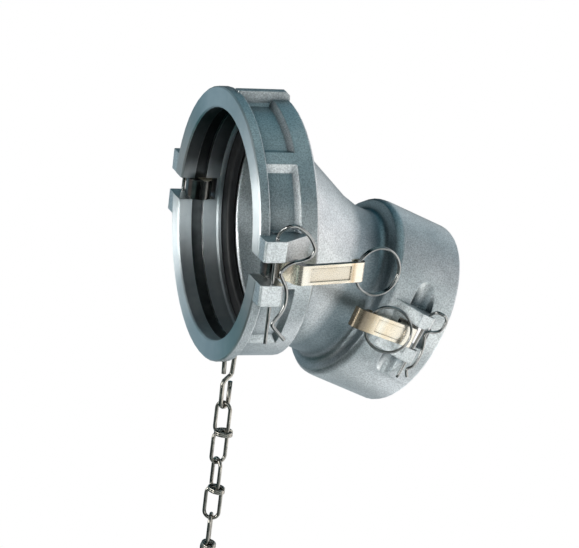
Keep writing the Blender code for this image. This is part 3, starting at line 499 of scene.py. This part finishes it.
def pullRing(size, side, sign):
    look = rings[size]
    radius = look["radius"]
    swing, droop = math.radians(look["angle"]), math.radians(look["droop"])
    straight = Vector((math.cos(swing), math.sin(swing), 0))
    flat = Vector((-math.sin(swing), math.cos(swing), 0))
    pin = Vector((0, 0, 1))
    away = straight * math.cos(droop) - pin * math.sin(droop)
    across = straight * math.sin(droop) + pin * math.cos(droop)
    center = Vector((*armPlaces[size]["eye"], 0)) + away * (radius - rings["play"])
    place = armFrame(size, sign)
    path = []
    for k in range(rings["steps"] + 1):
        share = k / rings["steps"]
        turn = 2 * math.pi * rings["turns"] * share + math.radians(rings["start"])
        offset = rings["pitch"] * (min(1, max(0, (share - rings["crossFrom"]) / rings["crossOver"])) - 0.5)
        reach = radius * (math.cos(turn) * away + math.sin(turn) * across)
        path.append(place @ (center + reach + flat * offset))
    bm = bmesh.new()
    tubeMesh(bm, path, rings["wire"], rings["sides"])
    body, nodeName = f"{size}_ring_{side}", f"{size}_pull_ring_{side}"
    finishPiece(f"{size}_ring_coil_{side}", bm, wireSteel, body, nodeName)


for side, sign in flanks:
    for size in ("large", "small"):
        safetyClip(size, side, sign)
        pullRing(size, side, sign)
print("clips and rings made")

# chain: a hook of thick wire and links of two loops knotted in the middle
chain = {"x": 0.0257, "sides": 16, "hookTop": -0.105096, "hookLength": 0.0455, "hookHalf": 0.0040,
         "hookWire": 0.0018, "hookTurn": 27.0, "linkWire": 0.0015, "linkLength": 0.0511, "linkHalf": 0.0059,
         "linkTwist": 54.0, "firstTurn": -47.0, "nextTurn": -34.0, "gap": 0.0003,
         "wrapWide": 0.0060, "wrapDeep": 0.0042, "wrapShift": 0.0020, "wrapTurns": 2.15, "wrapRise": 1.1,
         "wrapSteps": 20, "links": 3, "lift": 0.00013, "hookArc": 16, "loopArc": 14, "hookStart": 0.0172,
         "hookWaist": [(1, 0.0175), (0.8, 0.0196), (0, 0.0214), (-0.8, 0.0232), (-1.1, 0.0260)],
         "hookTip": 0.0250, "turnFrom": 0.012, "turnOver": 0.008}


# a point of the chain's plane, which stands turned by an angle about the vertical
def chainPoint(degrees, across, down, through=0.0):
    t = math.radians(degrees)
    return Vector((chain["x"] + across * math.cos(t) - through * math.sin(t),
                   across * math.sin(t) + through * math.cos(t), down))


def arcPoints(center, radius, start, end, steps):
    turns = [math.radians(start + (end - start) * k / steps) for k in range(steps + 1)]
    return [(center[0] + radius * math.cos(t), center[1] + radius * math.sin(t)) for t in turns]


def chainHook():
    r, top = chain["hookHalf"], chain["hookTop"]
    bottom = top - chain["hookLength"]
    shape = [(-r, top - chain["hookStart"])] + arcPoints((0, top - r), r, 180, 0, chain["hookArc"])
    shape += [(r * share, top - depth) for share, depth in chain["hookWaist"]]
    shape += arcPoints((0, bottom + r), r, 180, 360, chain["hookArc"]) + [(r, top - chain["hookTip"])]
    path = []
    for x, z in shape:
        turning = min(1, max(0, (top - chain["turnFrom"] - z) / chain["turnOver"]))
        path.append(chainPoint(chain["hookTurn"] * turning, x, z))
    bm = bmesh.new()
    tubeMesh(bm, path, chain["hookWire"], chain["sides"])
    finishPiece("chain_hook_wire", bm, chainSteel, "chain_hook", "chain_hook")


def chainLoop(bm, degrees, top, bottom):
    half, steps = chain["linkHalf"], chain["loopArc"]
    shape = arcPoints((0, top - half), half, 180, 0, steps)
    shape += arcPoints((0, bottom + half), half, 0, -180, steps)
    path = [chainPoint(degrees, x, z) for x, z in shape]
    tubeMesh(bm, path, chain["linkWire"], chain["sides"], closed=True)


def chainLink(number, top, degrees):
    bm = bmesh.new()
    lap = chain["linkWire"]
    bottom = top - chain["linkLength"]
    middle = (top + bottom) / 2
    chainLoop(bm, degrees, top, middle - lap)
    chainLoop(bm, degrees + chain["linkTwist"], middle + lap, bottom + chain["lift"])
    wrap = []
    steps = round(chain["wrapTurns"] * chain["wrapSteps"])
    for k in range(steps + 1):
        share = k / steps
        t = 2 * math.pi * chain["wrapTurns"] * share
        across = chain["wrapShift"] + chain["wrapWide"] * math.cos(t)
        through = chain["wrapDeep"] * math.sin(t)
        down = middle + lap * (chain["wrapRise"] - 2 * chain["wrapRise"] * share)
        wrap.append(chainPoint(degrees + chain["linkTwist"] / 2, across, down, through))
    tubeMesh(bm, wrap, chain["linkWire"], chain["sides"])
    name = f"chain_link_{number}"
    finishPiece(f"chain_link_wire_{number}", bm, chainSteel, name, name)


chainHook()
linkTop = chain["hookTop"] - chain["hookLength"] + chain["hookWire"] + chain["linkWire"] + chain["gap"]
for number in range(chain["links"]):
    chainLink(number + 1, linkTop, chain["firstTurn"] + chain["nextTurn"] * number)
    linkTop -= chain["linkLength"] - 2 * chain["linkWire"] - chain["gap"]
print("chain made")

# cam arms: rounded edges, brass with painted shade and painted reflection bands at the root and the tip, and
# a hub round each pin painted near black as shade
arms = {"edge": 0.0005, "edgeAngle": 38, "edgeSegments": 3, "weld": 0.00001, "flatAngle": 0.5,
        "hubReach": 0.0165, "hubOut": 0.0068,
        "large": [(0.0, (1.0, 0.98, 0.92)), (0.009, (1.0, 0.95, 0.86)), (0.014, (1.0, 0.98, 0.93)),
                  (0.019, (1.0, 1.0, 1.0)), (0.030, (0.98, 0.93, 0.86)), (0.055, (1.0, 0.97, 0.92)),
                  (0.0585, (0.76, 0.63, 0.48)), (0.061, (1.0, 0.98, 0.95)), (0.070, (1.0, 1.0, 1.0))],
        "small": [(0.0, (1.0, 1.0, 1.0)), (0.012, (1.0, 1.0, 1.0)), (0.020, (1.0, 0.96, 0.90)),
                  (0.027, (0.97, 0.89, 0.77)), (0.032, (1.0, 1.0, 0.97)), (0.036, (1.0, 0.93, 0.82)),
                  (0.041, (0.50, 0.44, 0.35)), (0.046, (0.25, 0.22, 0.18))]}
for side, sign in flanks:
    for size in ("large", "small"):
        arm = nodes[f"{size}_cam_arm_{side}"]
        place = armFrame(size, sign)
        direction = (place.to_3x3() @ Vector((1, 0, 0))).normalized()
        # the brass takes painted shade and reflection bands along the arm
        look = dict(brassLook, paintedShadeTint=arms[size])
        arm.data.materials.clear()
        arm.data.materials.append(castFinish(f"pale brass {size} {side}", look, place.translation, direction))
        arm.data.materials.append(hubShade)
        # faces round the pin in the slot take the hub's painted shade
        inward = place.inverted()
        for face in arm.data.polygons:
            spot = inward @ face.center
            isHub = spot.y < arms["hubOut"] and math.hypot(spot.x, spot.y) < arms["hubReach"]
            face.material_index = 1 if isHub else 0
            face.use_smooth = True
        arm.data.attributes.remove(arm.data.attributes["custom_normal"])
        arm.modifiers.new("weld", "WELD").merge_threshold = arms["weld"]
        flats = arm.modifiers.new("whole flats", "DECIMATE")
        flats.decimate_type = "DISSOLVE"
        flats.angle_limit = math.radians(arms["flatAngle"])
        bevel = arm.modifiers.new("rounded edges", "BEVEL")
        bevel.width = arms["edge"]
        bevel.segments = arms["edgeSegments"]
        bevel.limit_method = "ANGLE"
        bevel.angle_limit = math.radians(arms["edgeAngle"])
        bevel.harden_normals = True
print("arms finished")


# camera at the photograph's viewing angle, in degrees and metres; the focal length is in the photo's pixels
shot = {"azimuth": -21.338, "elevation": 18.190, "roll": 7.1075, "distance": 2.0, "focal": 2626.54,
        "right": -0.0578063, "up": 0.0382420, "imageWidth": 579, "sensor": 36.0, "farClip": 20}


def placeCamera():
    az, el, roll = (math.radians(shot[k]) for k in ("azimuth", "elevation", "roll"))
    back = Vector((math.sin(az) * math.cos(el), -math.cos(az) * math.cos(el), math.sin(el)))
    right = Vector((math.cos(az), math.sin(az), 0))
    up = back.cross(right)
    turnedRight = right * math.cos(roll) + up * math.sin(roll)
    turnedUp = up * math.cos(roll) - right * math.sin(roll)
    place = turnedRight * -shot["right"] + turnedUp * -shot["up"] + back * shot["distance"]
    data = bpy.data.cameras.new("photo camera")
    data.sensor_width = shot["sensor"]
    data.lens = shot["focal"] * data.sensor_width / shot["imageWidth"]
    data.clip_end = shot["farClip"]
    camera = bpy.data.objects.new("photo camera", data)
    bpy.context.scene.collection.objects.link(camera)
    turn = Matrix((turnedRight, turnedUp, back)).transposed().to_4x4()
    camera.matrix_world = Matrix.Translation(place) @ turn
    bpy.context.scene.camera = camera


placeCamera()

# light shapes round the object: (azimuth, elevation, half width, strength, color) for each
softEdge = {"outer": 1.25, "inner": 0.75}


def lightsOn(tree, direction, boxes):
    total = None
    for azimuth, elevation, half, strength, color in boxes:
        az, el = math.radians(azimuth), math.radians(elevation)
        toward = (math.cos(az) * math.cos(el), math.sin(az) * math.cos(el), math.sin(el))
        facing = vectorMath(tree, "DOT_PRODUCT", direction, toward).outputs["Value"]
        edge, core = (math.cos(math.radians(half * softEdge[part])) for part in ("outer", "inner"))
        level = rangeOn(tree, facing, edge, core, 0.0, strength)
        glow = vectorMath(tree, "SCALE", color)
        tree.links.new(level, glow.inputs["Scale"])
        glow = glow.outputs["Vector"]
        total = glow if total is None else vectorMath(tree, "ADD", total, glow).outputs["Vector"]
    return total


# the floor's bright and dim parts, as polished metal sees them
floorGlow = [
    (-160, -14, 20, 0.21, (0.54, 0.99, 1.00)),
    (-70, -14, 20, 1.35, (0.98, 1.00, 0.99)),
    (-25, -14, 20, 1.52, (1.00, 0.99, 0.95)),
    (20, -14, 20, 1.02, (1.00, 0.89, 0.86)),
    (110, -14, 20, 0.42, (0.64, 0.88, 1.00)),
    (155, -14, 20, 0.44, (1.00, 0.91, 0.86)),
    (-150, -45, 22, 0.10, (0.92, 1.00, 1.00)),
    (-78, -45, 22, 0.43, (0.83, 0.98, 1.00)),
    (-6, -45, 22, 1.43, (0.99, 0.99, 1.00)),
    (66, -45, 22, 0.54, (0.84, 0.95, 1.00)),
    (138, -45, 22, 0.07, (0.00, 1.00, 1.00)),
    (0, -85, 22, 0.48, (0.88, 0.98, 1.00)),
]
paleFloor = {"halfWidth": 6, "height": -0.42, "color": (0.85, 0.85, 0.85, 1), "roughness": 0.9}


# pale floor: polished metal sees its glow, and the camera sees it white
def placeFloor():
    bm = bmesh.new()
    bmesh.ops.create_grid(bm, x_segments=1, y_segments=1, size=paleFloor["halfWidth"])
    found, tree, shader, coords = newMaterial("pale floor")
    floor = meshObject("pale_floor", bm, found)
    floor.location = (0, 0, paleFloor["height"])
    shader.inputs["Base Color"].default_value = paleFloor["color"]
    shader.inputs["Roughness"].default_value = paleFloor["roughness"]
    path = tree.nodes.new("ShaderNodeLightPath")
    last = shader.outputs["BSDF"]
    spot = vectorMath(tree, "ADD", coords, floor.location)
    direction = vectorMath(tree, "NORMALIZE", spot.outputs["Vector"]).outputs["Vector"]
    for ray in ("Is Glossy Ray", "Is Camera Ray"):
        glow = tree.nodes.new("ShaderNodeEmission")
        if ray == "Is Glossy Ray":
            tree.links.new(lightsOn(tree, direction, floorGlow), glow.inputs["Color"])
        mix = tree.nodes.new("ShaderNodeMixShader")
        tree.links.new(path.outputs[ray], mix.inputs["Fac"])
        tree.links.new(last, mix.inputs[1])
        tree.links.new(glow.outputs["Emission"], mix.inputs[2])
        last = mix.outputs["Shader"]
    tree.links.new(last, tree.nodes["Material Output"].inputs["Surface"])


placeFloor()

# soft boxes of the studio
softBoxes = [
    (-120, 8, 26, 0.82, (0.88, 0.98, 1.00)),
    (-40, 8, 26, 0.70, (0.93, 1.00, 1.00)),
    (0, 8, 26, 0.98, (1.00, 0.97, 0.98)),
    (40, 8, 26, 0.58, (0.90, 0.97, 1.00)),
    (120, 8, 26, 0.31, (0.67, 0.92, 1.00)),
    (160, 8, 26, 0.70, (0.90, 0.98, 1.00)),
    (-70, 38, 23, 0.05, (0.00, 0.71, 1.00)),
    (20, 38, 23, 0.04, (0.00, 0.66, 1.00)),
    (65, 38, 23, 0.10, (0.00, 0.67, 1.00)),
    (-45, 66, 23, 0.32, (0.67, 0.93, 1.00)),
    (45, 66, 23, 0.25, (0.69, 0.95, 1.00)),
    (-168, 18, 9, 4.50, (1.00, 1.00, 0.98)),
    (168, 6, 10, 4.00, (1.00, 1.00, 0.98)),
    (-160, 1, 9, 8.00, (1.00, 1.00, 0.98)),
]


# world of soft boxes, white where the camera looks at it
def paintWorld():
    world = bpy.data.worlds.new("studio")
    bpy.context.scene.world = world
    world.use_nodes = True
    tree = world.node_tree
    coords = tree.nodes.new("ShaderNodeTexCoord").outputs["Generated"]
    total = lightsOn(tree, coords, softBoxes)
    soft = tree.nodes["Background"]
    tree.links.new(total, soft.inputs["Color"])
    seen = tree.nodes.new("ShaderNodeBackground")
    seen.inputs["Color"].default_value = (1, 1, 1, 1)
    mix = tree.nodes.new("ShaderNodeMixShader")
    path = tree.nodes.new("ShaderNodeLightPath")
    tree.links.new(path.outputs["Is Camera Ray"], mix.inputs["Fac"])
    tree.links.new(soft.outputs["Background"], mix.inputs[1])
    tree.links.new(seen.outputs["Background"], mix.inputs[2])
    tree.links.new(mix.outputs["Shader"], tree.nodes["World Output"].inputs["Surface"])


paintWorld()
bpy.context.scene.view_settings.view_transform = "Standard"
print("stage set")
